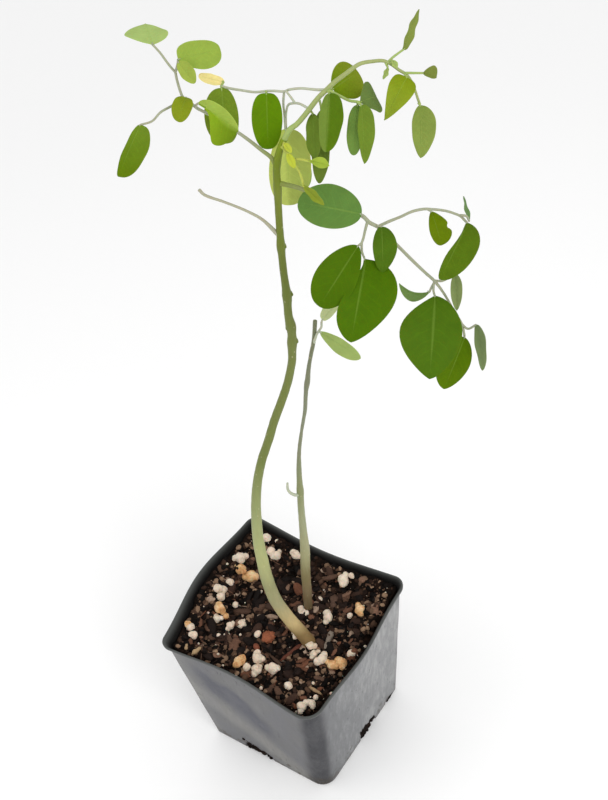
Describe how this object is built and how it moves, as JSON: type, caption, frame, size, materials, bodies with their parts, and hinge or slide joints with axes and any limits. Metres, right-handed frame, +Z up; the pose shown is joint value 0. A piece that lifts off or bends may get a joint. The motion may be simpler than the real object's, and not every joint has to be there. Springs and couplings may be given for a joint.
{
  "type": "potted moringa",
  "caption": "Young moringa in a square black nursery pot: a tall stem, a cut second stem and feathery leaves of round leaflets, standing in potting mix with perlite and bark.",
  "frame": {"origin": "middle of the pot's underside, on the surface it stands on", "axes": "+Z up; the pot's sides lie along X and Y; the picture's camera looks from the right-hand front, between +X and -Y"},
  "size_m": [0.167, 0.1288, 0.4391],
  "materials": {
    "pot": "black polypropylene, dusty and scuffed, with brown stains at the foot",
    "potting_mix": "damp peat and bark with white and golden perlite",
    "green_stem": "green bark, browner towards the foot, with leaf scars",
    "old_stem": "grey-green bark with a dry cut top",
    "leaf": "soft green leaflets with a fine midrib and thin grey-green stalks",
    "young_leaf": "thin yellow-green young leaf",
    "pale_leaf": "pale green leaf"
  },
  "bodies": {
    "root": {"pot": "pot", "potting_mix": "potting_mix", "main_stem": "green_stem", "second_stem": "old_stem", "leaf_left": "leaf", "leaf_upper": "leaf", "leaf_lower_right": "leaf", "young_leaf": "young_leaf", "second_shoot": "pale_leaf"}
  },
  "joints": []
}
